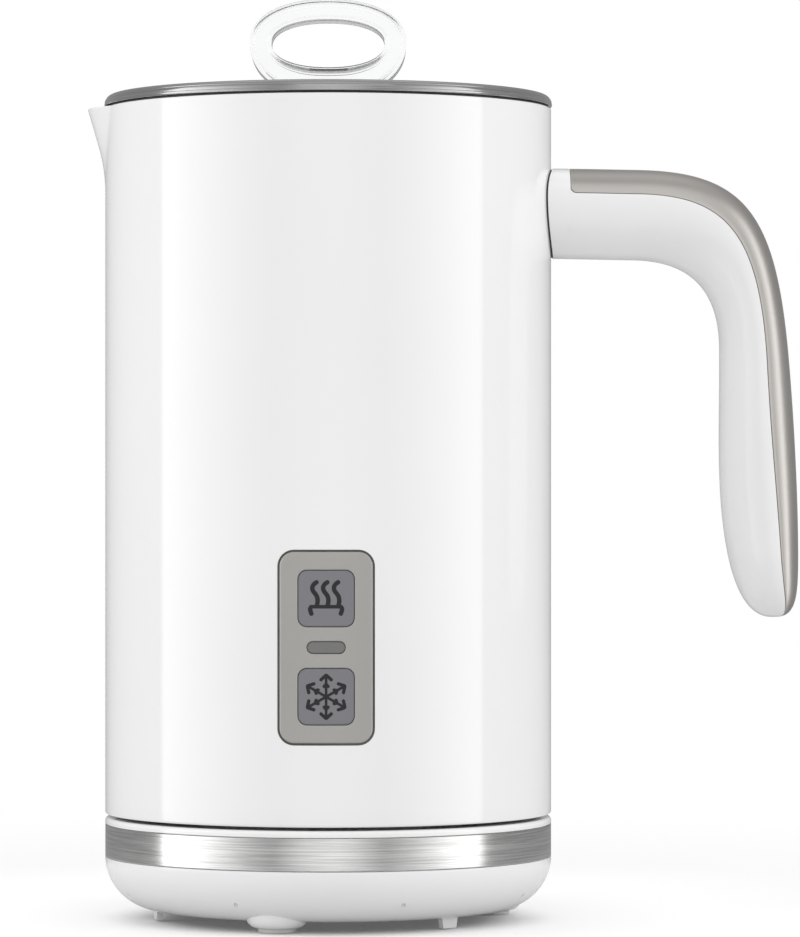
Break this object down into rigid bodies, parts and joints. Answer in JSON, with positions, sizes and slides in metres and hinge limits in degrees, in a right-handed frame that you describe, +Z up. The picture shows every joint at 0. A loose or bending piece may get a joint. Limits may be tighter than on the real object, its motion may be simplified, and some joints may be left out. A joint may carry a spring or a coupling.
{
  "type": "milk frother",
  "caption": "Electric milk frother: a white jug with side handle, clear-knobbed lid and button panel that turns on and lifts off a low base, with a heater and a magnetically driven whisk",
  "frame": {"origin": "on the surface the feet stand on, below the middle of the whole outline", "axes": "+Z up; the control panel and buttons face -Y; the handle points to +X and the spout to -X; the jug's axis stands 24.4 mm on the -X side of the origin"},
  "size_m": [0.1514, 0.0954, 0.1955],
  "materials": {
    "white_moulding": "gloss white moulding",
    "base_inner_moulding": "plain light moulding",
    "glide": "slippery white ring",
    "trim_steel": "brushed round the band",
    "contact_metal": "plated contacts",
    "foot_rubber": "soft grey pads",
    "dark_rubber": "dark seal",
    "screw_steel": "plated screws",
    "connector_moulding": "heat-resisting moulding",
    "board_green": "varnished board",
    "relay_blue": "plain moulding",
    "capacitor_brown": "sleeved parts",
    "pot_coating": "dark non-stick coating on steel",
    "heater_alloy": "cast plate",
    "heater_sheath": "sheathed tube",
    "thermostat_metal": "pressed cap",
    "fuse_sleeve": "woven sleeve",
    "bracket_steel": "pressed sheet",
    "motor_steel": "plated can",
    "carrier_moulding": "dark moulding",
    "magnet_plating": "plated magnets",
    "coil_steel": "bright spring wire",
    "panel_silver": "satin silver",
    "button_grey": "satin grey",
    "window_grey": "translucent grey",
    "switch_metal": "plated",
    "led_body": "clear lens",
    "cable_grey": "flat cable",
    "handle_satin": "warm satin grey",
    "lid_metallic": "dark silver gloss",
    "plug_moulding": "plain moulding",
    "knob_clear": "clear moulded plastic"
  },
  "bodies": {
    "base": {"base_lower_shell": "white_moulding", "base_top_cover": "white_moulding", "base_trim_band": "trim_steel", "base_socket": "base_inner_moulding", "socket_contacts": "contact_metal", "foot_pads": "foot_rubber", "base_screws": "screw_steel", "cord_grommet": "dark_rubber"},
    "glide": {"glide_ring": "glide"},
    "rotor": {"motor_shaft": "motor_steel", "magnet_carrier": "carrier_moulding", "drive_magnets": "magnet_plating"},
    "whisk": {"whisk_carrier": "carrier_moulding", "whisk_magnets": "magnet_plating"},
    "coil": {"whisk_coil": "coil_steel"},
    "hot_key": {"hot_button": "button_grey"},
    "cold_key": {"cold_button": "button_grey"},
    "lid": {"lid_cover": "lid_metallic", "lid_plug": "plug_moulding", "lid_seal": "dark_rubber", "lid_knob": "knob_clear", "knob_screw": "screw_steel"},
    "jug": {"jug_shell": "white_moulding", "bottom_cover": "base_inner_moulding", "bottom_screws": "screw_steel", "jug_connector": "connector_moulding", "plug_contacts": "contact_metal", "connector_screws": "screw_steel", "power_board": "board_green", "board_relay": "relay_blue", "board_capacitors": "capacitor_brown", "inner_pot": "pot_coating", "pot_seal": "dark_rubber", "heater_plate": "heater_alloy", "heater_tube": "heater_sheath", "thermostat": "thermostat_metal", "thermal_fuse": "fuse_sleeve", "motor_bracket": "bracket_steel", "bracket_screws": "screw_steel", "motor_can": "motor_steel", "whisk_post": "motor_steel", "panel_plate": "panel_silver", "panel_gasket": "dark_rubber", "status_window": "window_grey", "button_board": "board_green", "button_switches": "switch_metal", "status_led": "led_body", "board_screws": "screw_steel", "ribbon_cable": "cable_grey", "handle_shell": "white_moulding", "handle_cover": "handle_satin", "handle_seal": "dark_rubber", "handle_bracket": "bracket_steel", "handle_screws": "screw_steel"}
  },
  "joints": [
    {"name": "jug_swivel", "type": "hinge", "parent": "base", "child": "glide", "pos_m": [-0.0244, 0, 0.0225], "axis": [0, 0, 1], "continuous": true},
    {"name": "jug_lift", "type": "slide", "parent": "glide", "child": "jug", "axis": [0, 0, 1], "range_m": [0, 0.06]},
    {"name": "lid_lift", "type": "slide", "parent": "jug", "child": "lid", "axis": [0, 0, 1], "range_m": [0, 0.05]},
    {"name": "hot_press", "type": "slide", "parent": "jug", "child": "hot_key", "axis": [0, 1, 0], "range_m": [0, 0.0005], "stiffness_N_per_m": 600},
    {"name": "cold_press", "type": "slide", "parent": "jug", "child": "cold_key", "axis": [0, 1, 0], "range_m": [0, 0.0005], "stiffness_N_per_m": 600},
    {"name": "motor_spin", "type": "hinge", "parent": "jug", "child": "rotor", "pos_m": [-0.0244, 0, 0.062], "axis": [0, 0, 1], "continuous": true},
    {"name": "whisk_spin", "type": "hinge", "parent": "jug", "child": "whisk", "pos_m": [-0.0244, 0, 0.07], "axis": [0, 0, 1], "continuous": true},
    {"name": "coil_pull_off", "type": "slide", "parent": "whisk", "child": "coil", "axis": [0, 0, 1], "range_m": [0, 0.012]}
  ],
  "couplings": [
    {"joint": "motor_spin", "follows": "whisk_spin", "ratio": 1}
  ]
}
